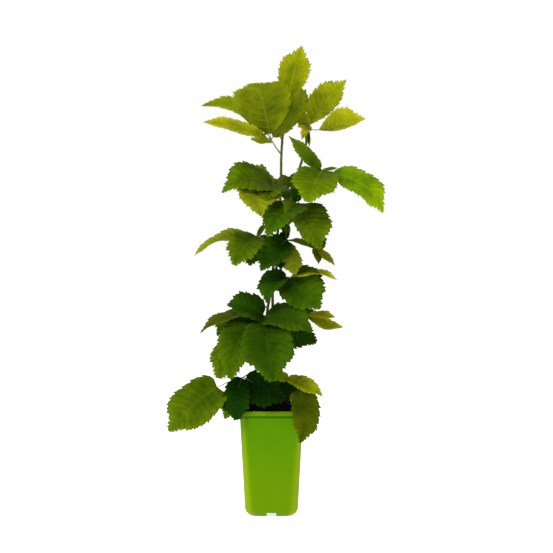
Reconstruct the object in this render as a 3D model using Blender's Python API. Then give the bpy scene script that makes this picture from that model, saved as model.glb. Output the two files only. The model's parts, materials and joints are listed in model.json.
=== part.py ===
"""A young bramble in a deep square nursery pot.

Two canes rise from the filled pot. Each compound leaf is one piece: a petiole
that starts just clear of its cane, and leaflets that meet at its joint.
Sizes are in millimetres. The origin is the middle of the pot's underside,
the front is -Y and +Z is up.
"""

from dataclasses import dataclass
from math import cos, radians, sin

import bmesh
import bpy
from mathutils import Matrix, Vector

MM = 0.001
GAP = 0.3

# Pot: half widths are measured at the middle of a side
POT_HEIGHT = 180.0
POT_BASE_HALF = 44.3
POT_TOP_HALF = 53.6
POT_WALL = 1.6
POT_FLOOR = 2.4
POT_CORNER_RADIUS = 15.0
POT_CORNER_STEPS = 3
FOOT_RADIUS = 13.0
FOOT_STEPS = 3
RIM_HEIGHT = 10.5
RIM_PROUD = 1.5
RIM_EDGE = 1.0
NOTCH_WIDTH = 17.0
NOTCH_HEIGHT = 5.8
NOTCH_DEPTH = 26.0

# Soil: a low mound with a flat top that both canes stand on
SOIL_WALL_LEVEL = 175.0
SOIL_TOP = 192.0
SOIL_TOP_HALF = 27.0
MOUND_STEPS = 3

# Heights of canes and leaves are measured from here, 10 mm above the pot's rim
PLANT_LEVEL = 190.0
CANE_FOOT = SOIL_TOP + GAP - PLANT_LEVEL

# Canes: points that each cane's middle line passes, right, back and up
MAIN_CANE = (
    (0, 0, CANE_FOOT),
    (1, 2, 74),
    (2, 2, 159),
    (2, 1, 214),
    (5, -3, 254),
    (12, -2, 304),
    (16, 1, 369),
    (17, 4, 426),
    (20, 3, 464),
    (26, 0, 489),
)
SIDE_CANE = (
    (-12, 14, CANE_FOOT),
    (-11, 15, 84),
    (-7, 15, 159),
    (6, 14, 222),
    (24, 14, 294),
    (37, 12, 366),
    (49, 10, 406),
    (59, 8, 442),
    (60, 7, 466),
)
CANE_FOOT_RADIUS = 3.6
CANE_LOW_RADIUS = 2.7
CANE_TIP_RADIUS = 2.0
CANE_FLARE = 0.06
CANE_SIDES = 7
CANE_STEPS = 2

# Petioles and leaflets
PETIOLE_RADIUS = 1.3
JOINT_RADIUS = 1.1
HUB_RADIUS = 2.0
PETIOLE_SIDES = 4
PETIOLE_STEPS = 4
PETIOLE_FOOT = 2.5
PETIOLE_RISE = 0.18
PETIOLE_OUT = 0.35
PETIOLE_NEAR_JOINT = 0.35
STALK_HALF = 1.1
STALK_THICKNESS = 2.0
LEAF_THICKNESS = 1.2
THICKNESS_SHARE = 0.0115
TIP_HALF = 0.5
LEAF_STATIONS = 7
TIP_NIP = 0.35
TIP_NIP_FROM = 0.72
HEART = 0.35
WEDGE_BASE = 0.55
FOLD = 12.0
DROOP = 0.25
BEND_NEAR = 0.33
BEND_FAR = 0.70
BEND_HEIGHT = 0.75
AXIS_STEP = 0.02
STALK_FADE = 5

# The way that a leaflet's upper side looks
UP = (0, 0, 1)
FRONT = (0, -1, 0.25)
FRONT_UP = (0, -0.8, 0.8)
FRONT_TOP = (0, -0.35, 1)
FRONT_LEFT = (-0.6, -1, 0.5)
FRONT_RIGHT = (0.6, -1, 0.5)
BACK = (0, 1, 0.4)
BACK_UP = (0, 0.6, 0.8)
LEFT_UP = (-0.8, 0.4, 0.7)
RIGHT_UP = (0.8, 0.4, 0.7)

SOIL_BROWN = (0.008, 0.005, 0.004, 1)
POT_GREEN = (0.15, 0.33, 0.002, 1)
CANE_OLIVE = (0.12, 0.11, 0.02, 1)
LEAF_GREEN = (0.12, 0.19, 0.004, 1)
LEAF_LIGHT = (0.28, 0.36, 0.01, 1)


@dataclass(frozen=True)
class Leaflet:
    """One leaflet: reach runs from the leaf's joint to the tip, right, back and up.

    The blade is round where base and tip are small numbers, and a wedge where they near 1.
    Lean is the share that one half is wider by and the other narrower.
    """

    reach: tuple
    width: float
    face: tuple = UP
    arch: float = 0.10
    sweep: float = 0.0
    stalk: float = 5.0
    base: float = 0.45
    tip: float = 0.62
    lean: float = 0.0


@dataclass(frozen=True)
class Leaf:
    """One compound leaf: its cane, the height of its foot there, and its petiole's reach."""

    name: str
    cane: str
    height: float
    reach: tuple
    leaflets: tuple
    colour: tuple = LEAF_GREEN
    at_tip: bool = False


LEAVES = (
    Leaf("leaf_top", "main", 489, (5, 0, 13), (
        Leaflet((22, 15, 115), 52, FRONT, 0.04, -0.05, 8, 0.95, 0.75),
        Leaflet((26, 66, 44), 44, RIGHT_UP),
        Leaflet((-47, 60, 30), 48, LEFT_UP),
    ), LEAF_LIGHT, True),
    Leaf("leaf_side_top", "side", 466, (3, -3, 5), (
        Leaflet((67, 8, 87), 50, BACK, 0.04, 0.06, 8, 0.85, 1.1, 0.15),
        Leaflet((96, -42, 13), 36, BACK, 0.02, -0.025, 20, 1.15, 0.85, 0.5),
        Leaflet((-6, 66, 32), 36, RIGHT_UP),
        Leaflet((-12, -24, -20), 10, FRONT),
        Leaflet((-19, -10, 2), 9, FRONT_UP, 0.1, 0.0, 2),
        Leaflet((-14, -18, -9), 10, FRONT, 0.1, 0.0, 2),
        Leaflet((-21, -12, 36), 22, BACK, 0.06, 0.0, 3),
    ), LEAF_LIGHT, True),
    Leaf("leaf_upper_left", "main", 430, (-18, -26, 21), (
        Leaflet((-29, -84, 84), 98, BACK_UP, 0.20, 0.0, 8, 0.8, 0.8),
        Leaflet((-121, 40, 62), 46, BACK_UP, 0.225, 0.0, 14, 0.75, 0.75),
        Leaflet((-114, -33, 27), 31, BACK_UP, 0.08, 0.0, 8, 0.7, 0.7),
        Leaflet((-33, -46, -5), 27, FRONT_UP, -0.06),
        Leaflet((59, -26, 82), 50, BACK_UP, 0.06, -0.05, 5, 0.7, 0.8),
    ), LEAF_LIGHT),
    Leaf("leaf_left", "main", 369, (-12, -23, 3), (
        Leaflet((-86, -33, -14), 73, FRONT_UP, 0.235, 0.03, 6, 0.42, 0.72),
        Leaflet((-37, 42, 40), 20, FRONT_UP, -0.04),
        Leaflet((-22, -73, -53), 80, FRONT, 0.10, 0.22, 6),
        Leaflet((20, -14, 18), 20, FRONT, 0.06, 0.0, 3),
    )),
    Leaf("leaf_right", "side", 385, (44, -45, 12), (
        Leaflet((-26, -66, -57), 82, FRONT_UP, 0.12, -0.01, 4, 0.5, 0.4),
        Leaflet((103, -1, -71), 62, FRONT_UP, 0.19, -0.03, 24, 0.62, 0.58, 0.04),
        Leaflet((-57, 4, 59), 27, FRONT, 0.02, 0.02, 5, 0.65),
        Leaflet((-6, 94, -28), 54, RIGHT_UP),
    )),
    Leaf("leaf_centre", "side", 354, (12, -52, -12), (
        Leaflet((-53, -30, -59), 60, FRONT_LEFT, 0.20, 0.0, 4),
        Leaflet((37, -42, -79), 72, FRONT_RIGHT, 0.14, 0.05, 4, 0.45, 0.5),
        Leaflet((-12, 8, 27), 22, FRONT, 0.02, 0.0, 3),
        Leaflet((-10, 30, -48), 52, FRONT_UP, 0.10, 0.0, 4),
    )),
    Leaf("leaf_right_small", "side", 280, (56, -12, -14), (
        Leaflet((32, -12, -30), 17, FRONT_UP, 0.04, 0.0, 3, 0.8, 0.95),
        Leaflet((-50, -6, 13), 19, FRONT_TOP, 0.10, 0.0, 2, 0.6),
        Leaflet((1, -10, -28), 18, FRONT_UP, 0.04, 0.0, 2, 0.6, 1.0),
        Leaflet((14, 44, 49), 52, RIGHT_UP),
        Leaflet((-10, 62, 30), 42, BACK_UP),
    )),
    Leaf("leaf_left_middle", "main", 325, (-37, -38, -39), (
        Leaflet((-107, 15, -33), 57, FRONT_TOP, 0.135, 0.0, 6, 0.6),
        Leaflet((-38, -50, -50), 57, FRONT_UP, 0.16, 0.0, 3, 0.45, 0.45),
        Leaflet((-14, 48, -50), 56, BACK_UP),
        Leaflet((20, 34, -8), 20, UP),
    )),
    Leaf("leaf_front", "main", 284, (17, -36, -3), (
        Leaflet((-44, -32, -54), 50, FRONT, 0.10, 0.0, 4),
        Leaflet((11, -18, -61), 36, FRONT, 0.05, 0.0, 5, 0.8, 0.5),
        Leaflet((1, 8, 20), 18, FRONT, 0.05, 0.0, 3),
    )),
    Leaf("leaf_right_middle", "main", 206, (27, -26, 10), (
        Leaflet((-36, -37, -43), 46, FRONT_LEFT, 0.22, 0.08, 4),
        Leaflet((-47, -5, -2), 26, FRONT_UP, 0.14, 0.0, 4),
        Leaflet((53, -32, -53), 74, FRONT, 0.06, 0.02, 4),
        Leaflet((86, 40, -2), 52, FRONT_TOP, 0.095, 0.0, 10, 0.7),
    )),
    Leaf("leaf_left_low", "main", 144, (-12, -28, 6), (
        Leaflet((-65, -12, 19), 61, FRONT_UP, 0.14, 0.0, 5),
        Leaflet((-109, -34, -28), 38, FRONT_TOP, 0.15, 0.0, 5, 0.7),
        Leaflet((-58, -74, -100), 72, FRONT_UP, 0.12, 0.10, 4, 0.38, 0.58, 0.08),
        Leaflet((13, -90, -106), 95, FRONT_UP, 0.14, 0.015, 8, 0.41, 0.56, 0.03),
        Leaflet((78, -46, -26), 64, FRONT_UP, 0.16, 0.0, 3, 0.36, 0.6),
        Leaflet((87, 6, -44), 70, FRONT_UP, -0.04, 0.0, 8, 0.45, 0.5),
    )),
    Leaf("leaf_right_low", "side", 159, (65, 9, -8), (
        Leaflet((65, -19, -21), 25, FRONT_UP, -0.10, 0.0, 6, 0.6),
        Leaflet((52, -12, -4), 19, FRONT_UP, 0.05, 0.0, 6, 0.7),
        Leaflet((27, 76, -24), 58, RIGHT_UP),
        Leaflet((-23, 96, -6), 48, BACK_UP),
    )),
    Leaf("leaf_left_back", "side", 164, (-37, 7, -8), (
        Leaflet((-53, 52, -44), 48, BACK_UP),
        Leaflet((-47, -47, -112), 57, FRONT_UP, 0.05, 0.01, 10, 1.3, 0.45, -0.12),
        Leaflet((-20, 88, -39), 50, BACK_UP),
    )),
    Leaf("leaf_low_left", "main", 57, (-49, -31, -11), (
        Leaflet((-124, -30, -88), 91, FRONT_UP, 0.08, 0.015, 49, 0.43, 0.6),
        Leaflet((-8, -42, -68), 46, FRONT, 0.06, 0.08, 3, 0.42, 0.28),
        Leaflet((72, -40, -34), 56, FRONT, 0.02, 0.0, 6, 0.5, 0.5, 0.15),
        Leaflet((-33, 46, -75), 28, FRONT, 0.04, 0.0, 5, 0.7, 0.5),
        Leaflet((60, 18, -35), 44, FRONT, 0.03, 0.0, 5),
    )),
    Leaf("leaf_low_right", "main", 36, (27, -65, 11), (
        Leaflet((57, 12, -28), 34, FRONT_UP, 0.02, 0.0, 3, 0.6),
        Leaflet((20, -18, -106), 52, FRONT, 0.08, -0.155, 18, 0.32, 0.55),
        Leaflet((7, 34, -37), 31, FRONT, 0.04, 0.0, 3, 0.5, 0.5),
        Leaflet((43, 80, -60), 44, RIGHT_UP),
    )),
    Leaf("leaf_upper_back", "main", 362, (15, 43, 8), (
        Leaflet((26, 31, 10), 46, RIGHT_UP),
        Leaflet((-24, 51, 12), 42, LEFT_UP),
        Leaflet((7, 66, -21), 48, BACK_UP),
        Leaflet((30, -44, -22), 26, RIGHT_UP),
    )),
    Leaf("leaf_back_top", "main", 454, (-14, 47, 32), (
        Leaflet((-43, 65, 49), 56, LEFT_UP),
        Leaflet((13, 75, 59), 50, BACK_UP),
        Leaflet((-34, 60, 4), 46, BACK_UP),
        Leaflet((-10, -40, -22), 30, LEFT_UP),
    )),
    Leaf("leaf_back_left", "main", 380, (-32, 48, 12), (
        Leaflet((-40, 63, 0), 52, LEFT_UP),
        Leaflet((-12, 76, -11), 46, BACK_UP),
        Leaflet((-53, 18, -11), 44, LEFT_UP),
        Leaflet((4, -44, -22), 32, LEFT_UP),
    )),
    Leaf("leaf_back_centre", "side", 314, (12, 44, 8), (
        Leaflet((35, 62, -8), 54, RIGHT_UP),
        Leaflet((-13, 80, -13), 50, BACK_UP),
        Leaflet((-39, 42, 7), 50, LEFT_UP),
        Leaflet((10, -44, -20), 36, RIGHT_UP),
    )),
    Leaf("leaf_back_middle", "main", 254, (-21, 58, 6), (
        Leaflet((-35, 50, 5), 54, LEFT_UP),
        Leaflet((17, 85, -6), 50, BACK_UP),
        Leaflet((33, 25, -31), 42, RIGHT_UP),
        Leaflet((-2, -40, -14), 34, LEFT_UP),
    )),
    Leaf("leaf_back_right", "side", 212, (35, 44, -13), (
        Leaflet((41, 60, -10), 60, RIGHT_UP),
        Leaflet((7, 84, -25), 50, BACK_UP),
        Leaflet((44, 2, -16), 40, RIGHT_UP),
        Leaflet((10, -46, -12), 38, RIGHT_UP),
    )),
    Leaf("leaf_back_low", "main", 114, (5, 52, -6), (
        Leaflet((-57, 58, -27), 60, LEFT_UP),
        Leaflet((-12, 86, -47), 54, BACK_UP),
        Leaflet((20, 61, -20), 54, RIGHT_UP),
        Leaflet((-36, -42, -10), 42, LEFT_UP),
        Leaflet((26, -42, -12), 40, RIGHT_UP),
    )),
    Leaf("leaf_back_foot", "side", 46, (-6, 38, -10), (
        Leaflet((-38, 56, -37), 56, LEFT_UP),
        Leaflet((16, 73, -28), 48, BACK_UP),
        Leaflet((44, 38, -18), 50, RIGHT_UP),
        Leaflet((-12, -36, -8), 34, LEFT_UP),
    )),
)


def clear_scene():
    """Remove every object that the file starts with."""
    for obj in list(bpy.data.objects):
        bpy.data.objects.remove(obj, do_unlink=True)


def material(name, colour, roughness):
    """A plain finish."""
    made = bpy.data.materials.new(name)
    made.use_nodes = True
    shader = made.node_tree.nodes["Principled BSDF"]
    shader.inputs["Base Color"].default_value = colour
    shader.inputs["Roughness"].default_value = roughness
    shader.inputs["Metallic"].default_value = 0.0
    made.diffuse_color = colour
    return made


def object_from(bm, name, finish=None, smooth_angle=None, collection=None):
    """Turn a bmesh in millimetres into an object in metres."""
    bmesh.ops.recalc_face_normals(bm, faces=bm.faces)
    bmesh.ops.scale(bm, vec=(MM, MM, MM), verts=bm.verts)
    mesh = bpy.data.meshes.new(name)
    bm.to_mesh(mesh)
    bm.free()
    if smooth_angle is not None:
        mesh.shade_smooth()
        mesh.set_sharp_from_angle(angle=radians(smooth_angle))
    if finish is not None:
        mesh.materials.append(finish)
    made = bpy.data.objects.new(name, mesh)
    (collection or bpy.context.scene.collection).objects.link(made)
    return made


def apply_modifiers(obj):
    """Keep the evaluated mesh as the object's own."""
    graph = bpy.context.evaluated_depsgraph_get()
    mesh = bpy.data.meshes.new_from_object(obj.evaluated_get(graph))
    obj.modifiers.clear()
    obj.data = mesh


def smooth_curve(points, steps):
    """Points of a Catmull-Rom curve through the given ones."""
    path = [Vector(p) for p in points]
    path = [2 * path[0] - path[1]] + path + [2 * path[-1] - path[-2]]
    curve = []
    for before, start, end, after in zip(path, path[1:], path[2:], path[3:]):
        for i in range(steps):
            t = i / steps
            curve.append(
                0.5 * (
                    2 * start
                    + (end - before) * t
                    + (2 * before - 5 * start + 4 * end - after) * t**2
                    + (3 * start - before - 3 * end + after) * t**3
                )
            )
    curve.append(path[-2])
    return curve


def bezier(p0, p1, p2, p3, t):
    """A point of a cubic Bezier curve."""
    s = 1 - t
    return s**3 * p0 + 3 * s**2 * t * p1 + 3 * s * t**2 * p2 + t**3 * p3


def ring_frames(path, radii):
    """One matrix for each point of the path: its Z follows the path, its scale is the radius."""
    frames = []
    across = Vector((0, 1, 0))
    for i, point in enumerate(path):
        along = (path[min(i + 1, len(path) - 1)] - path[max(i - 1, 0)]).normalized()
        across = (across - across.dot(along) * along).normalized()
        side = across.cross(along)
        turn = Matrix((side, across, along)).transposed().to_4x4()
        frames.append(Matrix.Translation(point) @ turn @ Matrix.Scale(radii[i], 4))
    return frames


def extrude_cap(bm, cap):
    """Extrude an end cap: its edges go along, so that no face is left inside."""
    region = cap + [edge for face in cap for edge in face.edges]
    geometry = bmesh.ops.extrude_face_region(bm, geom=region)["geom"]
    moved = [g for g in geometry if isinstance(g, bmesh.types.BMVert)]
    return moved, [g for g in geometry if isinstance(g, bmesh.types.BMFace)]


def tube(bm, path, radii, sides, level_foot=False):
    """Extrude a capped round tube along the path."""
    frames = ring_frames(path, radii)
    if level_foot:
        frames[0] = Matrix.Translation(path[0]) @ Matrix.Scale(radii[0], 4)
    made = bmesh.ops.create_circle(bm, cap_ends=True, segments=sides, radius=1, matrix=frames[0])
    cap = made["verts"][0].link_faces[:]
    for before, after in zip(frames, frames[1:]):
        moved, cap = extrude_cap(bm, cap)
        bmesh.ops.transform(bm, matrix=after @ before.inverted(), verts=moved)


def rounded_square(half, corner):
    """The points of a square outline with round corners, anticlockwise."""
    points = []
    for quarter in range(4):
        turn = Matrix.Rotation(radians(90 * quarter), 3, "Z")
        centre = turn @ Vector((half - corner, half - corner, 0))
        for step in range(POT_CORNER_STEPS + 1):
            angle = radians(90 * quarter + 90 * step / POT_CORNER_STEPS)
            points.append(centre + corner * Vector((cos(angle), sin(angle), 0)))
    return points


def raise_stations(bm, stations):
    """Extrude a rounded square through stations of height and half width."""
    height, half = stations[0]
    outline = rounded_square(half, POT_CORNER_RADIUS * half / POT_TOP_HALF)
    made = bmesh.ops.create_circle(bm, cap_ends=True, segments=len(outline), radius=half)
    for vert, point in zip(made["verts"], outline):
        vert.co = point + Vector((0, 0, height))
    cap = bm.faces[:]
    for next_height, next_half in stations[1:]:
        moved, cap = extrude_cap(bm, cap)
        spread = next_half / half
        bmesh.ops.scale(bm, vec=(spread, spread, 1), verts=moved)
        bmesh.ops.translate(bm, vec=(0, 0, next_height - height), verts=moved)
        height = next_height
        half = next_half


def side_half(height):
    """Half the pot's outer width at a height, without the rim."""
    return POT_BASE_HALF + (POT_TOP_HALF - POT_BASE_HALF) * height / (POT_HEIGHT - RIM_HEIGHT)


def foot_stations(inset, floor):
    """The rounded lower edge at an inset from the outside, from its flat bottom to the side."""
    stations = []
    for i in range(FOOT_STEPS + 1):
        angle = radians(90 * i / FOOT_STEPS)
        rise = (FOOT_RADIUS - inset) * (1 - cos(angle))
        height = floor + rise * (FOOT_RADIUS + inset - floor) / (FOOT_RADIUS - inset)
        half = side_half(FOOT_RADIUS + inset) - inset - (FOOT_RADIUS - inset) * (1 - sin(angle))
        stations.append((height, half))
    return stations


def make_pot():
    """The pot: a tapering square tub with a rim band and a drain notch in each side."""
    rim_foot = POT_HEIGHT - RIM_HEIGHT
    rim_half = POT_TOP_HALF + RIM_PROUD
    outside = foot_stations(0, 0) + [
        (rim_foot, side_half(rim_foot)),
        (rim_foot, rim_half),
        (POT_HEIGHT - RIM_EDGE, rim_half),
        (POT_HEIGHT, rim_half - RIM_EDGE),
    ]
    inner_top = side_half(POT_HEIGHT) - POT_WALL
    inside = [(POT_HEIGHT, inner_top)] + foot_stations(POT_WALL, POT_FLOOR)[::-1]
    bm = bmesh.new()
    raise_stations(bm, outside + inside)
    pot = object_from(bm, "pot", material("pot_plastic", POT_GREEN, 0.35), 35)

    for i in range(4):
        bm = bmesh.new()
        bmesh.ops.create_cube(bm, size=1)
        bmesh.ops.scale(bm, vec=(NOTCH_WIDTH, 2 * NOTCH_DEPTH, 2 * NOTCH_HEIGHT), verts=bm.verts)
        bmesh.ops.translate(bm, vec=(0, -POT_BASE_HALF, 0), verts=bm.verts)
        bmesh.ops.rotate(bm, matrix=Matrix.Rotation(radians(90 * i), 3, "Z"), verts=bm.verts)
        cutter = object_from(bm, f"notch_cutter_{i}")
        cut = pot.modifiers.new(f"notch_{i}", "BOOLEAN")
        cut.operation = "DIFFERENCE"
        cut.object = cutter
        cutter.hide_render = True
        cutter.display_type = "WIRE"
    return pot


def make_soil():
    """The soil: it fills the pot and rises to a low mound."""
    inset = POT_WALL + GAP
    stations = foot_stations(inset, POT_FLOOR + GAP)
    wall_half = side_half(SOIL_WALL_LEVEL) - inset
    stations.append((SOIL_WALL_LEVEL, wall_half))
    for i in range(1, MOUND_STEPS + 1):
        share = i / MOUND_STEPS
        height = SOIL_WALL_LEVEL + (SOIL_TOP - SOIL_WALL_LEVEL) * sin(radians(90 * share))
        stations.append((height, wall_half + (SOIL_TOP_HALF - wall_half) * share))
    bm = bmesh.new()
    raise_stations(bm, stations)
    return object_from(bm, "soil", material("soil_dark", SOIL_BROWN, 0.95), 35)


def cane_radius(share):
    """The radius at a share of the cane's length, with a flare at the foot."""
    radius = CANE_LOW_RADIUS + (CANE_TIP_RADIUS - CANE_LOW_RADIUS) * share
    flare = max(0.0, 1 - share / CANE_FLARE)
    return radius + (CANE_FOOT_RADIUS - CANE_LOW_RADIUS) * flare**2


class Cane:
    """A cane's middle line, with its radius at each point."""

    def __init__(self, name, points):
        self.name = name
        self.path = [p + Vector((0, 0, PLANT_LEVEL)) for p in smooth_curve(points, CANE_STEPS)]
        last = len(self.path) - 1
        self.radii = [cane_radius(i / last) for i in range(last + 1)]

    def at_height(self, height):
        """The middle point, direction and radius where the cane passes a height."""
        for i in range(len(self.path) - 1):
            low, high = self.path[i], self.path[i + 1]
            if height <= high.z or i == len(self.path) - 2:
                share = min(1.0, max(0.0, (height - low.z) / (high.z - low.z)))
                return low.lerp(high, share), (high - low).normalized(), self.radii[i]

    def make(self):
        """The cane's solid, with a flat cut at the soil."""
        bm = bmesh.new()
        tube(bm, self.path, self.radii, CANE_SIDES, level_foot=True)
        finish = material(f"{self.name}_bark", CANE_OLIVE, 0.6)
        return object_from(bm, self.name, finish, 40)


def petiole_path(leaf, cane):
    """The middle line of a leaf's petiole, from just clear of its cane to the joint."""
    middle, along, radius = cane.at_height(PLANT_LEVEL + leaf.height)
    joint = middle + Vector(leaf.reach)
    if leaf.at_tip:
        foot = middle + along * GAP
        out = along
    else:
        reach = joint - middle
        out = (reach - reach.dot(along) * along).normalized()
        foot = middle + out * (radius + GAP)
    start = foot + out * PETIOLE_FOOT
    span = (joint - start).length
    rise = (out * PETIOLE_OUT + along * PETIOLE_RISE) * span
    near_joint = joint - (joint - start - rise / 2) * PETIOLE_NEAR_JOINT
    path = [foot]
    for i in range(PETIOLE_STEPS + 1):
        path.append(bezier(start, start + rise, near_joint, joint, i / PETIOLE_STEPS))
    return path


def blade_share(t, base, tip):
    """The blade's half width at a share of its length, as a share of its widest."""
    widest = base / (base + tip)
    top = widest**base * (1 - widest) ** tip
    nip = min(1.0, max(0.0, (t - TIP_NIP_FROM) / (1 - TIP_NIP_FROM)))
    drawn_out = 1 - TIP_NIP * nip * (2 - nip)
    return t**base * (1 - t) ** tip / top * drawn_out


class Blade:
    """A leaflet's surface: places by share along and across."""

    def __init__(self, joint, leaflet):
        self.leaflet = leaflet
        chord = Vector(leaflet.reach)
        self.length = chord.length
        face = Vector(leaflet.face).normalized()
        along = chord / self.length
        self.up = (face - face.dot(along) * along).normalized()
        aside = along.cross(self.up)
        rise = self.up * (leaflet.arch * self.length / BEND_HEIGHT)
        swing = aside * (leaflet.sweep * self.length / BEND_HEIGHT)
        self.start = joint
        self.near = joint + chord * BEND_NEAR + rise * (1 - DROOP) + swing
        self.far = joint + chord * BEND_FAR + rise * (1 + DROOP) + swing
        self.tip = joint + chord
        self.stalk_share = leaflet.stalk / self.length

    def middle(self, t):
        """The midrib's point at a share of the leaflet's length."""
        return bezier(self.start, self.near, self.far, self.tip, t)

    def axes(self, t):
        """The directions along, across and up at a share of the length."""
        before = self.middle(max(0, t - AXIS_STEP))
        along = (self.middle(min(1, t + AXIS_STEP)) - before).normalized()
        across = along.cross(self.up).normalized()
        return along, across, across.cross(along)

    def half_width(self, t):
        """Half the width at a share of the length, stalk and blade."""
        if t <= self.stalk_share:
            return STALK_HALF
        share = (t - self.stalk_share) / (1 - self.stalk_share)
        blade = self.leaflet.width / 2 * blade_share(share, self.leaflet.base, self.leaflet.tip)
        return max(TIP_HALF, STALK_HALF * (1 - share), blade)

    def thickness(self, t):
        """The thickness, which is greater in the stalk than in the blade."""
        blade = max(LEAF_THICKNESS, THICKNESS_SHARE * self.length)
        share = max(0.0, (t - self.stalk_share) / (1 - self.stalk_share))
        return blade + (STALK_THICKNESS - blade) * max(0.0, 1 - STALK_FADE * share)

    def place(self, t, s):
        """The surface's point at a share along (0 to 1) and across (-1 to 1)."""
        along, across, up = self.axes(t)
        out = s * self.half_width(t) * (1 + self.leaflet.lean * s)
        folded = out * cos(radians(FOLD)) * across + abs(out) * sin(radians(FOLD)) * up
        share = max(0.0, (t - self.stalk_share) / (1 - self.stalk_share))
        heart = HEART if self.leaflet.base < WEDGE_BASE and t > self.stalk_share else 0.0
        back = heart * abs(out) * abs(s) * (1 - share) ** 3
        return self.middle(t) + folded - back * along

    def station(self, i):
        """The share of the length at which cross row i lies: the first rows are the stalk."""
        if i == 0:
            return 0.0
        share = (i - 1) / (LEAF_STATIONS - 2)
        return self.stalk_share + (1 - self.stalk_share) * share


def make_leaflet(name, joint, leaflet, collection):
    """A leaflet's closed solid, from a grid that is bent to its surface and thickened."""
    blade = Blade(joint, leaflet)
    bm = bmesh.new()
    bmesh.ops.create_grid(bm, x_segments=2, y_segments=LEAF_STATIONS - 1, size=1)
    rows = LEAF_STATIONS - 1
    shares = {}
    for vert in bm.verts:
        row = round((vert.co.y + 1) / 2 * rows)
        shares[vert] = (blade.station(row), round(vert.co.x))
    sheet = bm.faces[:] + bm.edges[:]
    extruded = bmesh.ops.extrude_face_region(bm, geom=sheet, use_keep_orig=True)
    upper = [g for g in extruded["geom"] if isinstance(g, bmesh.types.BMVert)]
    pairs = {tuple(round(c, 4) for c in v.co): shares[v] for v in shares}
    for vert in upper:
        t, s = pairs[tuple(round(c, 4) for c in vert.co)]
        vert.co = blade.place(t, s) + blade.axes(t)[2] * blade.thickness(t) / 2
    for vert, (t, s) in shares.items():
        vert.co = blade.place(t, s) - blade.axes(t)[2] * blade.thickness(t) / 2
    return object_from(bm, name, collection=collection)


def make_leaf(leaf, canes):
    """A compound leaf: its petiole, its joint and its leaflets, joined in one solid."""
    path = petiole_path(leaf, canes[leaf.cane])
    joint = path[-1]
    last = len(path) - 1
    radii = [PETIOLE_RADIUS + (JOINT_RADIUS - PETIOLE_RADIUS) * i / last for i in range(last + 1)]
    bm = bmesh.new()
    tube(bm, path, radii, PETIOLE_SIDES)
    whole = object_from(bm, leaf.name, material(f"{leaf.name}_green", leaf.colour, 0.5))

    pieces = bpy.data.collections.new(f"{leaf.name}_pieces")
    bpy.context.scene.collection.children.link(pieces)
    bm = bmesh.new()
    bmesh.ops.create_icosphere(
        bm, subdivisions=1, radius=HUB_RADIUS, matrix=Matrix.Translation(joint)
    )
    object_from(bm, f"{leaf.name}_hub", collection=pieces)
    for i, leaflet in enumerate(leaf.leaflets):
        make_leaflet(f"{leaf.name}_leaflet_{i}", joint, leaflet, pieces)

    join = whole.modifiers.new("join", "BOOLEAN")
    join.operation = "UNION"
    join.solver = "EXACT"
    join.operand_type = "COLLECTION"
    join.collection = pieces
    apply_modifiers(whole)
    for piece in list(pieces.objects):
        bpy.data.objects.remove(piece, do_unlink=True)
    bpy.data.collections.remove(pieces)
    return whole


def main():
    """Build the pot, the soil, the canes and the leaves."""
    clear_scene()
    make_pot()
    make_soil()
    canes = {"main": Cane("main_cane", MAIN_CANE), "side": Cane("side_cane", SIDE_CANE)}
    for cane in canes.values():
        cane.make()
    for leaf in LEAVES:
        make_leaf(leaf, canes)


main()
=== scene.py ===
"""Looks of a young bramble in a deep square nursery pot.

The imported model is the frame. Its leaf masses, canes, soil and pot are replaced by
finer pieces that follow the same lines: toothed, pleated leaflets on their petioles,
canes with bark and prickles, a filled pot with a rolled rim. Lengths are in
millimetres until a piece is finished, and each piece is then in metres.
"""

import json
import logging
from dataclasses import dataclass, field, replace
from enum import Enum
from math import cos, pi, radians, sin
from random import Random

import bmesh
import bpy
from mathutils import Matrix, Vector, noise

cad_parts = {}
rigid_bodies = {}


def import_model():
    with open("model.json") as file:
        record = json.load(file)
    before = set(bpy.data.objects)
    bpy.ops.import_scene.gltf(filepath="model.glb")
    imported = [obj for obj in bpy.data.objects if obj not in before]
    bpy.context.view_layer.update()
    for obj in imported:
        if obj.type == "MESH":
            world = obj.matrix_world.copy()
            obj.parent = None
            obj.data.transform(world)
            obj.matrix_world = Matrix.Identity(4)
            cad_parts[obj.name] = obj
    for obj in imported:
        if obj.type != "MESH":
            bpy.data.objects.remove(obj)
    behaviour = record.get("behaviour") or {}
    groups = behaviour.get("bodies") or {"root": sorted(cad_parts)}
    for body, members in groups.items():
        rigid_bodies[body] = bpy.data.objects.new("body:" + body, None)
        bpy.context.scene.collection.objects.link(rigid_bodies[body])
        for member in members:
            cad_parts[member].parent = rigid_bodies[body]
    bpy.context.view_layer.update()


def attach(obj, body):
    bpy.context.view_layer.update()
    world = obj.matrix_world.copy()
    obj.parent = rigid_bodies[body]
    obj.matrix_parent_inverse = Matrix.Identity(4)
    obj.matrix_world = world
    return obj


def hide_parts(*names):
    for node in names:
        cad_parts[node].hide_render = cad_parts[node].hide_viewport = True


MM = 0.001
GAP = 0.3
LOG = logging.getLogger("bramble")

Point = tuple[float, float, float]
Colour = tuple[float, float, float, float]


class Facing(Enum):
    """The way that a leaflet's upper side looks: right, back and up."""

    UP = (0.0, 0.0, 1.0)
    FRONT = (0.0, -1.0, 0.25)
    FRONT_UP = (0.0, -0.8, 0.8)
    FRONT_TOP = (0.0, -0.35, 1.0)
    FRONT_LEFT = (-0.6, -1.0, 0.5)
    FRONT_RIGHT = (0.6, -1.0, 0.5)
    BACK = (0.0, 1.0, 0.4)
    BACK_UP = (0.0, 0.6, 0.8)
    LEFT_UP = (-0.8, 0.4, 0.7)
    RIGHT_UP = (0.8, 0.4, 0.7)


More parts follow.
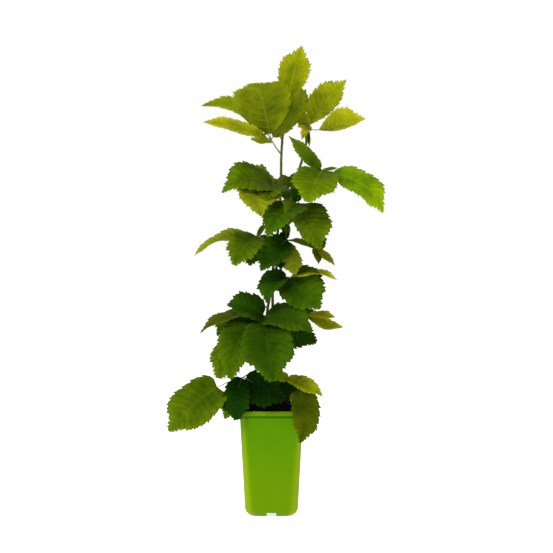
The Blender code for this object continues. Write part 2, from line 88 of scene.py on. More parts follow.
class Tint(Enum):
    """A leaf's base colour, matched leaf by leaf to how light or dark it looks where it hangs: beside its
    own colour each tint partly carries painted light and shade.
    """

    # Partly painted light: also used for leaves that catch a highlight.
    PALE = (0.235, 0.255, 0.003, 1.0)
    LIGHT = (0.17, 0.20, 0.002, 1.0)
    YELLOW = (0.215, 0.235, 0.003, 1.0)
    YOUNG = (0.125, 0.16, 0.002, 1.0)
    LIME = (0.118, 0.215, 0.001, 1.0)
    GRASS = (0.135, 0.18, 0.001, 1.0)
    FRESH = (0.068, 0.125, 0.001, 1.0)
    OLIVE = (0.083, 0.110, 0.002, 1.0)
    AMBER = (0.32, 0.28, 0.012, 1.0)
    KHAKI = (0.042, 0.060, 0.001, 1.0)
    FERNY = (0.053, 0.096, 0.001, 1.0)
    GREEN = (0.048, 0.088, 0.001, 1.0)
    FERN = (0.034, 0.074, 0.001, 1.0)
    MOSS = (0.024, 0.060, 0.001, 1.0)
    DEEP = (0.012, 0.043, 0.001, 1.0)
    DARK = (0.0045, 0.026, 0.001, 1.0)
    # Painted shade: a near-black green for leaves deep in shade.
    NIGHT = (0.003, 0.015, 0.001, 1.0)


class Cane(Enum):
    """The two canes, which leaves name as their carrier."""

    MAIN = "main_cane"
    SIDE = "side_cane"


class Spray(Enum):
    """The groups that leaf blades are joined in."""

    TOP = "blades_top"
    MIDDLE = "blades_middle"
    LOW = "blades_low"
    BACK = "blades_back"


@dataclass(frozen=True)
class Leaflet:
    """One leaflet: reach runs from the leaf's joint to the tip, right, back and up.

    The blade is round where base and tip are small numbers, and a wedge where they near 1.
    Lean is the share that one half is wider by and the other narrower, and bend the share
    of the sweep that goes from the midrib's far end to its near one.
    """

    reach: Point
    width: float
    face: Facing = Facing.UP
    arch: float = 0.10
    sweep: float = 0.0
    stalk: float = 5.0
    base: float = 0.45
    tip: float = 0.62
    lean: float = 0.0
    bend: float = 0.0
    tint: Tint | None = None


@dataclass(frozen=True)
class Leaf:
    """One compound leaf: its cane, the height of its foot there, and its petiole's reach."""

    name: str
    cane: Cane
    height: float
    reach: Point
    leaflets: tuple[Leaflet, ...]
    tint: Tint = Tint.GREEN
    spray: Spray = Spray.BACK
    at_tip: bool = False


LEAVES: tuple[Leaf, ...] = (
    Leaf("leaf_top", Cane.MAIN, 489, (5, 0, 13), (
        Leaflet((22, 15, 115), 53, Facing.FRONT, 0.04, -0.045, 8, 1.2, 1.0, 0.0, 0.4),
        Leaflet((26, 66, 44), 44, Facing.RIGHT_UP, tint=Tint.YOUNG),
        Leaflet((-47, 60, 30), 48, Facing.LEFT_UP),
    ), Tint.LIGHT, Spray.TOP, True),
    Leaf("leaf_side_top", Cane.SIDE, 466, (3, -3, 5), (
        Leaflet((67, 8, 87), 49, Facing.BACK, 0.04, 0.05, 8, 0.95, 1.0, 0.12, 0.8, Tint.LIGHT),
        Leaflet((96, -42, 13), 37, Facing.BACK, 0.02, -0.05, 18, 0.95, 0.85, 0.6, 0.9, Tint.PALE),
        Leaflet((-24, 66, 38), 32, Facing.RIGHT_UP),
        Leaflet((-12, -24, -20), 10, Facing.FRONT, tint=Tint.YOUNG),
        Leaflet((-19, -10, 3), 12, Facing.FRONT_UP, 0.1, 0.0, 1, tint=Tint.AMBER),
        Leaflet((-14, -18, -10), 12, Facing.FRONT, 0.1, 0.0, 1, tint=Tint.AMBER),
        Leaflet((2, -7, -30), 6, Facing.FRONT, 0.0, 0.0, 1, 0.4, 0.5, tint=Tint.KHAKI),
        Leaflet((-21, -12, 36), 22, Facing.BACK, 0.06, 0.0, 3, tint=Tint.YOUNG),
    ), Tint.LIGHT, Spray.TOP, True),
    Leaf("leaf_upper_left", Cane.MAIN, 430, (-18, -26, 21), (
        Leaflet((-29, -84, 84), 98, Facing.BACK_UP, 0.20, 0.0, 8, 0.8, 0.8, tint=Tint.YOUNG),
        Leaflet((-121, 40, 62), 43, Facing.BACK_UP, 0.228, 0.0, 14, 0.75, 0.75, tint=Tint.GRASS),
        Leaflet((-114, -33, 26), 31, Facing.BACK_UP, 0.07, 0.0, 8, 0.7, 0.7, tint=Tint.YELLOW),
        Leaflet((-33, -46, -5), 27, Facing.FRONT_UP, -0.06),
        Leaflet((59, -26, 82), 50, Facing.BACK_UP, 0.06, -0.05, 5, 0.7, 0.8, tint=Tint.OLIVE),
    ), Tint.LIGHT, Spray.TOP),
    Leaf("leaf_left", Cane.MAIN, 369, (-12, -23, 3), (
        Leaflet((-87, -33, -14), 76, Facing.FRONT_UP, 0.235, 0.02, 6, 0.42, 0.72),
        Leaflet((-30, 42, 40), 20, Facing.FRONT_UP, -0.04, tint=Tint.FRESH),
        Leaflet((-20, -73, -55), 75, Facing.FRONT, 0.10, 0.185, 6, tint=Tint.YOUNG),
        Leaflet((-14, -58, -28), 54, Facing.FRONT_UP, 0.10, 0.0, 2, 0.4, 0.6, tint=Tint.GREEN),
        Leaflet((5, 36, 14), 14, Facing.FRONT, 0.06, 0.0, 3, tint=Tint.OLIVE),
    ), Tint.GREEN, Spray.MIDDLE),
    Leaf("leaf_right", Cane.SIDE, 385, (44, -45, 12), (
        Leaflet((-26, -66, -57), 77, Facing.FRONT_UP, 0.12, -0.01, 4, 0.42, 0.40, tint=Tint.FRESH),
        Leaflet((103, -1, -71), 61, Facing.FRONT_UP, 0.18, -0.03, 17, 0.55, 0.56, 0.06, tint=Tint.LIME),
        Leaflet((25, -2, 4), 6, Facing.FRONT, 0.10, 0.0, 0.5, 0.3, 0.3, tint=Tint.OLIVE),
        Leaflet((-57, 4, 59), 24, Facing.FRONT, 0.02, 0.02, 5, 0.5, 0.85, -0.2, tint=Tint.GREEN),
        Leaflet((-6, 94, -28), 54, Facing.RIGHT_UP, tint=Tint.MOSS),
    ), Tint.GREEN, Spray.MIDDLE),
    Leaf("leaf_centre", Cane.SIDE, 354, (12, -52, -12), (
        Leaflet((-53, -44, -59), 71, Facing.FRONT_LEFT, 0.20, 0.0, 4, lean=-0.2, tint=Tint.MOSS),
        Leaflet((35, -30, -79), 83, Facing.FRONT_RIGHT, 0.155, 0.09, 4, 0.3, 0.56, -0.01),
        Leaflet((-12, 8, 27), 16, Facing.FRONT, 0.02, 0.0, 3, 0.4, 0.7, tint=Tint.DARK),
        Leaflet((-27, 30, -50), 30, Facing.FRONT_UP, 0.10, 0.0, 4, tint=Tint.DARK),
    ), Tint.GREEN, Spray.MIDDLE),
    Leaf("leaf_right_small", Cane.SIDE, 280, (56, -12, -14), (
        Leaflet((32, -12, -30), 15, Facing.FRONT_UP, 0.05, 0.0, 3, 0.8, 0.95, tint=Tint.YOUNG),
        Leaflet((-50, -6, 13), 14, Facing.FRONT_UP, 0.09, 0.01, 1, 0.25, 0.5, tint=Tint.OLIVE),
        Leaflet((4, -10, -28), 17, Facing.FRONT_UP, 0.04, -0.04, 0.5, 0.3, 0.9, tint=Tint.OLIVE),
        Leaflet((6, 44, 50), 42, Facing.RIGHT_UP),
        Leaflet((-10, 62, 30), 42, Facing.BACK_UP, tint=Tint.MOSS),
    ), Tint.GREEN, Spray.MIDDLE),
    Leaf("leaf_left_middle", Cane.MAIN, 325, (-37, -38, -39), (
        Leaflet((-107, 15, -33), 62, Facing.FRONT_TOP, 0.115, 0.0, 6, 0.6, tint=Tint.YOUNG),
        Leaflet((-38, -50, -50), 57, Facing.FRONT_UP, 0.16, 0.0, 3, 0.45, 0.45),
        Leaflet((-14, 48, -50), 56, Facing.BACK_UP, tint=Tint.DEEP),
        Leaflet((20, 34, -8), 20, Facing.UP, tint=Tint.DEEP),
        Leaflet((11, 6, 19), 9, Facing.FRONT, 0.02, 0.0, 1, 0.4, 0.4, tint=Tint.GREEN),
    ), Tint.GREEN, Spray.MIDDLE),
    Leaf("leaf_front", Cane.MAIN, 284, (17, -36, -3), (
        Leaflet((-44, -32, -54), 46, Facing.FRONT, 0.10, 0.0, 4, lean=0.15, tint=Tint.DEEP),
        Leaflet((13, -18, -61), 33, Facing.FRONT, 0.05, 0.0, 5, 0.8, 0.5, tint=Tint.OLIVE),
        Leaflet((-12, -22, -52), 12, Facing.FRONT, 0.02, 0.0, 36, tint=Tint.DARK),
        Leaflet((-12, 8, 11), 15, Facing.FRONT, 0.05, 0.0, 1, 0.4, 0.7, tint=Tint.NIGHT),
        Leaflet((3, 8, 25), 8, Facing.FRONT, 0.02, 0.0, 1, 0.4, 0.4, tint=Tint.KHAKI),
    ), Tint.GREEN, Spray.MIDDLE),
    Leaf("leaf_right_middle", Cane.MAIN, 206, (27, -26, 10), (
        Leaflet((-36, -37, -43), 46, Facing.FRONT_LEFT, 0.22, 0.08, 4, tint=Tint.DEEP),
        Leaflet((-47, -5, -2), 26, Facing.FRONT_UP, 0.14, 0.0, 4, tint=Tint.DEEP),
        Leaflet((53, -32, -53), 76, Facing.FRONT, 0.06, 0.01, 4, 0.34, 0.62, -0.1, tint=Tint.MOSS),
        Leaflet((82, -26, -5), 42, Facing.FRONT_TOP, 0.122, 0.0, 8, 0.4, 0.95, tint=Tint.PALE),
    ), Tint.GREEN, Spray.MIDDLE),
    Leaf("leaf_left_low", Cane.MAIN, 144, (-12, -28, 6), (
        Leaflet((-65, -12, 19), 61, Facing.FRONT_UP, 0.14, 0.0, 5, tint=Tint.DEEP),
        Leaflet((-109, -34, -28), 38, Facing.FRONT_TOP, 0.135, 0.0, 5, 0.7, tint=Tint.KHAKI),
        Leaflet((-57, -74, -101), 76, Facing.FRONT_UP, 0.12, 0.09, 3, 0.25, 0.41, -0.07, tint=Tint.FERN),
        Leaflet((13, -90, -105), 87, Facing.FRONT_UP, 0.14, 0.02, 8, 0.62, 0.44, 0.03, tint=Tint.MOSS),
        Leaflet((78, -46, -26), 67, Facing.FRONT_UP, 0.17, 0.0, 3, 0.36, 0.6, tint=Tint.MOSS),
        Leaflet((87, 6, -45), 71, Facing.FRONT_UP, -0.04, 0.0, 8, 0.45, 0.48, tint=Tint.DEEP),
    ), Tint.GREEN, Spray.LOW),
    Leaf("leaf_right_low", Cane.SIDE, 159, (65, 9, -8), (
        Leaflet((65, -19, -21), 25, Facing.FRONT_UP, -0.10, 0.0, 6, 0.6, tint=Tint.PALE),
        Leaflet((52, -12, -4), 19, Facing.FRONT_UP, 0.05, 0.0, 6, 0.7, tint=Tint.PALE),
        Leaflet((27, 76, -24), 58, Facing.RIGHT_UP),
        Leaflet((-23, 96, -6), 48, Facing.BACK_UP, tint=Tint.MOSS),
    ), Tint.GREEN, Spray.LOW),
    Leaf("leaf_left_back", Cane.SIDE, 164, (-37, 7, -8), (
        Leaflet((-53, 52, -44), 48, Facing.BACK_UP, tint=Tint.MOSS),
        Leaflet((-47, -47, -112), 57, Facing.FRONT_UP, 0.05, 0.01, 10, 1.3, 0.45, -0.12, tint=Tint.GREEN),
        Leaflet((-20, 88, -39), 50, Facing.BACK_UP, tint=Tint.DEEP),
    ), Tint.GREEN, Spray.LOW),
    Leaf("leaf_low_left", Cane.MAIN, 57, (-49, -31, -11), (
        Leaflet((-124, -30, -88), 89, Facing.FRONT_UP, 0.05, 0.06, 45, 0.38, 0.55, -0.08, 0.8, Tint.FERNY),
        Leaflet((-8, -42, -68), 46, Facing.FRONT, 0.06, 0.08, 3, 0.42, 0.28, tint=Tint.DARK),
        Leaflet((72, -40, -34), 56, Facing.FRONT, 0.02, 0.0, 6, 0.5, 0.5, 0.15, tint=Tint.NIGHT),
        Leaflet((-33, 46, -75), 28, Facing.FRONT, 0.04, 0.0, 5, 0.7, 0.5, tint=Tint.FRESH),
        Leaflet((60, 18, -35), 44, Facing.FRONT, 0.03, 0.0, 5, tint=Tint.NIGHT),
    ), Tint.GREEN, Spray.LOW),
    Leaf("leaf_low_right", Cane.MAIN, 36, (27, -65, 11), (
        Leaflet((57, -22, -28), 29, Facing.FRONT_UP, 0.02, -0.05, 0.5, 0.5, tint=Tint.LIGHT),
        Leaflet((-20, 2, 5), 17, Facing.FRONT, 0.02, 0.0, 0.5, 0.4, 0.5, tint=Tint.OLIVE),
        Leaflet((20, -18, -106), 46, Facing.FRONT, 0.08, -0.18, 23, 0.3, 0.5, 0.0, 0.15, Tint.KHAKI),
        Leaflet((-1, 32, -40), 46, Facing.FRONT, 0.04, 0.0, 3, 0.4, 0.5, tint=Tint.NIGHT),
        Leaflet((43, 80, -60), 44, Facing.RIGHT_UP, tint=Tint.MOSS),
    ), Tint.GREEN, Spray.LOW),
    Leaf("leaf_upper_back", Cane.MAIN, 362, (15, 43, 8), (
        Leaflet((26, 31, 18), 38, Facing.RIGHT_UP),
        Leaflet((-27, 30, 13), 30, Facing.FRONT, 0.08, 0.10, 2, tint=Tint.KHAKI),
        Leaflet((7, 66, -21), 48, Facing.BACK_UP, tint=Tint.DEEP),
        Leaflet((40, -36, 4), 18, Facing.RIGHT_UP),
    )),
    Leaf("leaf_back_top", Cane.MAIN, 454, (-14, 47, 32), (
        Leaflet((-43, 65, 49), 56, Facing.LEFT_UP, tint=Tint.YOUNG),
        Leaflet((13, 75, 59), 50, Facing.BACK_UP, tint=Tint.LIGHT),
        Leaflet((-34, 60, 4), 46, Facing.BACK_UP),
        Leaflet((-10, -40, -22), 30, Facing.LEFT_UP),
    )),
    Leaf("leaf_back_left", Cane.MAIN, 380, (-32, 48, 12), (
        Leaflet((-40, 63, 0), 52, Facing.LEFT_UP, tint=Tint.FRESH),
        Leaflet((-12, 76, -11), 46, Facing.BACK_UP),
        Leaflet((-53, 18, -11), 44, Facing.LEFT_UP, tint=Tint.MOSS),
        Leaflet((4, -44, -22), 22, Facing.LEFT_UP),
    )),
    Leaf("leaf_back_centre", Cane.SIDE, 314, (12, 44, 8), (
        Leaflet((35, 62, -8), 54, Facing.RIGHT_UP, tint=Tint.MOSS),
        Leaflet((-13, 80, -13), 50, Facing.BACK_UP),
        Leaflet((-39, 42, 7), 50, Facing.LEFT_UP, tint=Tint.DEEP),
        Leaflet((10, -44, -20), 36, Facing.RIGHT_UP, tint=Tint.MOSS),
    )),
    Leaf("leaf_back_middle", Cane.MAIN, 254, (-21, 58, 6), (
        Leaflet((-35, 50, 5), 54, Facing.LEFT_UP),
        Leaflet((17, 85, -6), 50, Facing.BACK_UP, tint=Tint.MOSS),
        Leaflet((33, 25, -31), 42, Facing.RIGHT_UP, tint=Tint.DEEP),
        Leaflet((-2, -40, -14), 34, Facing.LEFT_UP, tint=Tint.MOSS),
    )),
    Leaf("leaf_back_right", Cane.SIDE, 212, (35, 44, -13), (
        Leaflet((41, 60, -10), 60, Facing.RIGHT_UP),
        Leaflet((7, 84, -25), 50, Facing.BACK_UP, tint=Tint.OLIVE),
        Leaflet((44, 2, -16), 40, Facing.RIGHT_UP, tint=Tint.MOSS),
        Leaflet((10, -46, -12), 38, Facing.RIGHT_UP, tint=Tint.DEEP),
    )),
    Leaf("leaf_back_low", Cane.MAIN, 114, (5, 52, -6), (
        Leaflet((-57, 58, -27), 60, Facing.LEFT_UP),
        Leaflet((-12, 86, -47), 54, Facing.BACK_UP, tint=Tint.MOSS),
        Leaflet((20, 61, -20), 54, Facing.RIGHT_UP, tint=Tint.MOSS),
        Leaflet((-36, -42, -10), 42, Facing.LEFT_UP),
        Leaflet((26, -42, -12), 40, Facing.RIGHT_UP, tint=Tint.DEEP),
    )),
    Leaf("leaf_back_foot", Cane.SIDE, 46, (-6, 38, -10), (
        Leaflet((-38, 56, -37), 56, Facing.LEFT_UP, tint=Tint.MOSS),
        Leaflet((16, 73, -28), 48, Facing.BACK_UP, tint=Tint.DEEP),
        Leaflet((44, 38, -18), 50, Facing.RIGHT_UP, tint=Tint.OLIVE),
        Leaflet((-12, -36, -8), 34, Facing.LEFT_UP),
    )),
)


# Shader expressions


class Value:
    """A number socket that adds its Math node when it is used in an expression."""

    def __init__(self, tree: bpy.types.NodeTree, socket: bpy.types.NodeSocket) -> None:
        """Wrap an output socket of a tree."""
        self.tree = tree
        self.socket = socket

    def maths(self, operation: str, *terms: "Value | float") -> "Value":
        """Add one Math node.

        Args:
            operation: The node's operation.
            terms: Its inputs, in order, as sockets or numbers.

        Returns:
            The node's result.
        """
        made = self.tree.nodes.new("ShaderNodeMath")
        made.operation = operation
        for slot, term in zip(made.inputs, terms):
            if isinstance(term, Value):
                self.tree.links.new(term.socket, slot)
            else:
                slot.default_value = term
        return Value(self.tree, made.outputs[0])

    def __add__(self, other: "Value | float") -> "Value":
        """Sum."""
        return self.maths("ADD", self, other)

    __radd__ = __add__

    def __mul__(self, other: "Value | float") -> "Value":
        """Product."""
        return self.maths("MULTIPLY", self, other)

    __rmul__ = __mul__

    def __sub__(self, other: "Value | float") -> "Value":
        """Difference."""
        return self.maths("SUBTRACT", self, other)

    def __rsub__(self, other: float) -> "Value":
        """Difference from a number."""
        return self.maths("SUBTRACT", other, self)

    def __truediv__(self, other: "Value | float") -> "Value":
        """Quotient."""
        return self.maths("DIVIDE", self, other)

    def __pow__(self, other: "Value | float") -> "Value":
        """Power."""
        return self.maths("POWER", self, other)

    def __abs__(self) -> "Value":
        """Size without sign."""
        return self.maths("ABSOLUTE", self)

    def fraction(self) -> "Value":
        """The part after the decimal point."""
        return self.maths("FRACT", self)

    def ramp(self, low: float, high: float) -> "Value":
        """A smooth step.

        Args:
            low: The value at which the step is 0.
            high: The value at which it is 1, which may lie below low.

        Returns:
            The step, from 0 to 1.
        """
        made = self.tree.nodes.new("ShaderNodeMapRange")
        made.interpolation_type = "SMOOTHSTEP"
        self.tree.links.new(self.socket, made.inputs["Value"])
        made.inputs["From Min"].default_value = low
        made.inputs["From Max"].default_value = high
        return Value(self.tree, made.outputs["Result"])


class Surface:
    """A material under construction, on one Principled shader."""

    def __init__(self, name: str) -> None:
        """Start a material with its shader."""
        self.material = bpy.data.materials.new(name)
        self.material.use_nodes = True
        self.tree = self.material.node_tree
        self.shader = self.tree.nodes["Principled BSDF"]

    def node(self, kind: str, settings: dict | None = None, **values) -> bpy.types.Node:
        """Add any node.

        Args:
            kind: The node's type.
            settings: Its properties, which are set first.
            values: Its inputs by name, with _ for a space, as numbers, values or sockets.

        Returns:
            The node.
        """
        made = self.tree.nodes.new(kind)
        for key, setting in (settings or {}).items():
            setattr(made, key, setting)
        for key, value in values.items():
            self.feed(made.inputs[key.replace("_", " ")], value)
        return made

    def feed(self, slot: bpy.types.NodeSocket, value) -> None:
        """Link a value or socket to an input, or set its number."""
        if isinstance(value, Value):
            self.tree.links.new(value.socket, slot)
        elif isinstance(value, bpy.types.NodeSocket):
            self.tree.links.new(value, slot)
        else:
            slot.default_value = value

    def place(self) -> bpy.types.NodeSocket:
        """The point's place on the object, in metres."""
        return self.node("ShaderNodeTexCoord").outputs["Object"]

    def attribute(self, name: str, output: str = "Fac") -> bpy.types.NodeSocket:
        """A mesh attribute's output."""
        return self.node("ShaderNodeAttribute", {"attribute_name": name}).outputs[output]

    def parts(self, vector: bpy.types.NodeSocket) -> list[Value]:
        """A vector's three numbers."""
        split = self.node("ShaderNodeSeparateXYZ", Vector=vector)
        return [Value(self.tree, out) for out in split.outputs]

    def noise(self, vector: bpy.types.NodeSocket, scale: float, detail: float = 3.0) -> Value:
        """Fractal noise between 0 and 1 at a place."""
        made = self.node("ShaderNodeTexNoise", Vector=vector, Scale=scale, Detail=detail)
        return Value(self.tree, made.outputs["Fac"])

    def mix(self, share: Value | float, first, second) -> bpy.types.NodeSocket:
        """Blend two colours.

        Args:
            share: How much of the second colour shows.
            first: The colour at 0.
            second: The colour at 1.

        Returns:
            The blended colour.
        """
        made = self.node("ShaderNodeMix", {"data_type": "RGBA"})
        self.feed(made.inputs[0], share)
        self.feed(made.inputs[6], first)
        self.feed(made.inputs[7], second)
        return made.outputs[2]

    def bump(self, height: Value, distance: float, strength: float = 1.0) -> None:
        """Feed the shader's normal from a height, in metres."""
        made = self.node("ShaderNodeBump", Strength=strength, Distance=distance, Height=height)
        self.feed(self.shader.inputs["Normal"], made.outputs["Normal"])

    def dress(self, **values) -> bpy.types.Material:
        """Set the shader's inputs by name, with _ for a space, and return the material."""
        for key, value in values.items():
            self.feed(self.shader.inputs[key.replace("_", " ")], value)
        return self.material


@dataclass(frozen=True)
class BladeFinish:
    """A leaf blade: its tint, blended from a painted shaded copy to a painted sunlit copy so that it
    lightens to the tip and margins, painted shade in the hollows by the side veins, paler veins, mottling
    and a soft gloss.
    """

    vein_half: float = 0.09
    midrib_half: float = 0.06
    hollow_half: float = 0.3
    # Strength of the painted shade in the hollows by the side veins.
    hollow_shade: float = 0.42
    roughness: float = 0.6

    def make(self) -> bpy.types.Material:
        """Build the material, which reads the blade, along and tint attributes."""
        surface = Surface("leaf_blade")
        across, rows, mood = surface.parts(surface.attribute("blade", "Vector"))
        along = Value(surface.tree, surface.attribute("along"))
        tint = surface.attribute("tint", "Color")
        green = surface.parts(tint)[1]
        place = surface.place()
        off_rib = abs(across)
        off_vein = abs((rows + 0.5).fraction() - 0.5)
        midrib = off_rib.ramp(self.midrib_half, 0.0)
        side_vein = off_vein.ramp(self.vein_half, 0.0) * off_rib.ramp(1.0, 0.6)
        veins = midrib.maths("MAXIMUM", midrib, side_vein)
        hollow = off_vein.ramp(self.hollow_half, 0.0) * off_rib.ramp(0.0, 0.15)
        fine = surface.noise(place, 420.0, 4.0)
        patches = surface.noise(place, 38.0, 3.0)
        # Painted shade and light: a shaded copy and a sunlit copy of the tint, blended towards the sunlit
        # one along the blade, towards the margins and in random patches.
        shade = surface.node("ShaderNodeHueSaturation", Color=tint, Value=0.56, Hue=0.515)
        sunny = surface.node("ShaderNodeHueSaturation", Color=tint, Value=1.85, Hue=0.485)
        pale = surface.node("ShaderNodeHueSaturation", Color=tint, Value=2.0, Saturation=0.95)
        painted_light_and_mottle = (along * 0.45 + off_rib**2.0 * 0.4 + patches * 1.1 + mood * 0.15).ramp(0.45, 1.5)
        colour = surface.mix(painted_light_and_mottle, shade.outputs["Color"], sunny.outputs["Color"])
        # Random dark speckles, and painted shade in the hollows by the side veins, mix towards the shaded
        # copy.
        speckle = fine.ramp(0.6, 0.4) * 0.3
        speckle_and_shade = speckle.maths("MAXIMUM", speckle, hollow * self.hollow_shade)
        colour = surface.mix(speckle_and_shade, colour, shade.outputs["Color"])
        lift = green.ramp(0.03, 0.22) * 0.24 + 0.18
        colour = surface.mix(veins * lift, colour, pale.outputs["Color"])
        surface.bump(fine * 0.5 - hollow * 0.7 + midrib * 0.5, 0.0006, 0.6)
        return surface.dress(Base_Color=colour, Roughness=self.roughness + fine * 0.12,
                             Specular_IOR_Level=0.02, Specular_Tint=(0.55, 0.8, 0.1, 1.0))


@dataclass(frozen=True)
class BarkFinish:
    """Young green bark that reddens low down, with fine ridges."""

    name: str = "cane_bark"
    green: Colour = (0.080, 0.080, 0.005, 1.0)
    red: Colour = (0.050, 0.026, 0.005, 1.0)
    pale: Colour = (0.13, 0.12, 0.015, 1.0)
    red_from: float = 0.62
    red_full: float = 0.40

    def make(self) -> bpy.types.Material:
        """Build the material, which reads its height on the object."""
        surface = Surface(self.name)
        place = surface.place()
        height = surface.parts(place)[2]
        stretch = surface.node("ShaderNodeMapping", Vector=place, Scale=(1.0, 1.0, 0.12))
        ridges = surface.noise(stretch.outputs["Vector"], 900.0, 3.0)
        patches = surface.noise(place, 60.0, 2.0)
        share = height.ramp(self.red_from, self.red_full) * (patches.ramp(0.3, 0.7) * 0.6 + 0.4)
        colour = surface.mix(share, self.green, self.red)
        colour = surface.mix(ridges.ramp(0.45, 0.75) * 0.5, colour, self.pale)
        surface.bump(ridges, 0.0004, 0.7)
        return surface.dress(Base_Color=colour, Roughness=0.5 + ridges * 0.2,
                             Specular_IOR_Level=0.12)


@dataclass(frozen=True)
class PotFinish:
    """Satin lime green plastic: soft grain, a painted highlight on the round corners and along the rim,
    painted shade in the groove under the rim, and darker at the foot.
    """

    body: Colour = (0.066, 0.195, 0.001, 1.0)
    yellow: Colour = (0.116, 0.218, 0.001, 1.0)
    # Painted highlight colour for the round corners and the rim.
    rubbed: Colour = (0.23, 0.32, 0.003, 1.0)
    # Painted shade colour for the groove under the rim; it also darkens the foot.
    shade_tone: Colour = (0.028, 0.105, 0.001, 1.0)
    height: float = 0.180
    groove_top: float = 0.172
    groove_foot: float = 0.1685

    def make(self) -> bpy.types.Material:
        """Build the material, which yellows a little towards the foot."""
        surface = Surface("pot_plastic")
        place = surface.place()
        x, y, height = surface.parts(place)
        grain = surface.noise(place, 1600.0, 2.0)
        clouds = surface.noise(place, 22.0, 3.0)
        colour = surface.mix(height.ramp(self.height, 0.0) * 0.8, self.body, self.yellow)
        colour = surface.mix(clouds.ramp(0.4, 0.8) * 0.15, colour, self.yellow)
        # Painted highlight: the round corners, the rim's top edge and the rim band are mixed towards the
        # highlight colour.
        narrow = abs(x).maths("MINIMUM", abs(x), abs(y))
        wide = abs(x).maths("MAXIMUM", abs(x), abs(y))
        corner = (narrow / wide + (0.085 - height) * 1.1).ramp(0.68, 0.97)
        edge = corner.maths("MAXIMUM", corner, height.ramp(self.height - 0.003, self.height))
        rim = height.ramp(self.groove_top, self.groove_top + 0.001) * 0.45
        edge = edge.maths("MAXIMUM", edge, rim)
        colour = surface.mix(edge * 0.6, colour, self.rubbed)
        # Painted shade: a dark band in the groove under the rim, and the same colour makes the foot
        # darker.
        shadow = height.ramp(self.groove_top + 0.0008, self.groove_top - 0.0004)
        shadow = shadow * height.ramp(self.groove_foot - 0.001, self.groove_foot + 0.0005)
        foot = height.ramp(0.003, 0.0)
        colour = surface.mix(shadow.maths("MAXIMUM", shadow, foot) * 0.6, colour, self.shade_tone)
        surface.bump(grain * 0.3 + clouds, 0.0003, 0.25)
        return surface.dress(Base_Color=colour, Roughness=0.4 + clouds * 0.12,
                             Specular_IOR_Level=0.08, Specular_Tint=(0.5, 0.9, 0.1, 1.0))


@dataclass(frozen=True)
class SoilFinish:
    """Dark moist compost with paler fibres."""

    dark: Colour = (0.004, 0.003, 0.002, 1.0)
    brown: Colour = (0.022, 0.013, 0.006, 1.0)

    def make(self) -> bpy.types.Material:
        """Build the material."""
        surface = Surface("compost")
        place = surface.place()
        grain = surface.noise(place, 700.0, 5.0)
        lumps = surface.noise(place, 170.0, 3.0)
        colour = surface.mix(grain.ramp(0.5, 0.75) * 0.8, self.dark, self.brown)
        surface.bump(grain * 0.5 + lumps, 0.0015, 0.9)
        return surface.dress(Base_Color=colour, Roughness=0.92, Specular_IOR_Level=0.1)


# Mesh helpers


def smooth_curve(points: list[Vector], steps: int) -> list[Vector]:
    """Points of a Catmull-Rom curve through the given ones.

    Args:
        points: The points that the curve passes.
        steps: Pieces between two of them.

    Returns:
        The curve's points, both ends included.
    """
    path = [2 * points[0] - points[1]] + points + [2 * points[-1] - points[-2]]
    curve = []
    for before, start, end, after in zip(path, path[1:], path[2:], path[3:]):
        for i in range(steps):
            t = i / steps
            curve.append(
                0.5 * (
                    2 * start
                    + (end - before) * t
                    + (2 * before - 5 * start + 4 * end - after) * t**2
                    + (3 * start - before - 3 * end + after) * t**3
                )
            )
    curve.append(path[-2])
    return curve


def bezier(p0: Vector, p1: Vector, p2: Vector, p3: Vector, t: float) -> Vector:
    """A point of a cubic Bezier curve at t between 0 and 1."""
    s = 1 - t
    return s**3 * p0 + 3 * s**2 * t * p1 + 3 * s * t**2 * p2 + t**3 * p3


def ring_frames(path: list[Vector], radii: list[float]) -> list[Matrix]:
    """One matrix for each point of a path.

    Args:
        path: The middle line.
        radii: The radius at each point.

    Returns:
        Matrices whose Z follows the path and whose scale is the radius.
    """
    frames = []
    across = Vector((0, 1, 0))
    for i, point in enumerate(path):
        along = (path[min(i + 1, len(path) - 1)] - path[max(i - 1, 0)]).normalized()
        across = (across - across.dot(along) * along).normalized()
        side = across.cross(along)
        turn = Matrix((side, across, along)).transposed().to_4x4()
        frames.append(Matrix.Translation(point) @ turn @ Matrix.Scale(radii[i], 4))
    return frames


def extrude_cap(bm: bmesh.types.BMesh, cap: list) -> tuple[list, list]:
    """Extrude an end cap.

    Args:
        bm: The mesh.
        cap: The faces of the cap.

    Returns:
        The moved points and the new cap.
    """
    region = cap + [edge for face in cap for edge in face.edges]
    made = bmesh.ops.extrude_face_region(bm, geom=region)["geom"]
    moved = [g for g in made if isinstance(g, bmesh.types.BMVert)]
    return moved, [g for g in made if isinstance(g, bmesh.types.BMFace)]


def tube(bm: bmesh.types.BMesh, path: list[Vector], radii: list[float], sides: int) -> list:
    """Extrude a capped round tube along a path.

    Args:
        bm: The mesh that takes it.
        path: The middle line.
        radii: The radius at each point.
        sides: Sides of each ring.

    Returns:
        The rings' points, in order along the path.
    """
    frames = ring_frames(path, radii)
    made = bmesh.ops.create_circle(bm, cap_ends=True, segments=sides, radius=1, matrix=frames[0])
    rings = [made["verts"]]
    cap = made["verts"][0].link_faces[:]
    for before, after in zip(frames, frames[1:]):
        moved, cap = extrude_cap(bm, cap)
        bmesh.ops.transform(bm, matrix=after @ before.inverted(), verts=moved)
        rings.append(moved)
    return rings


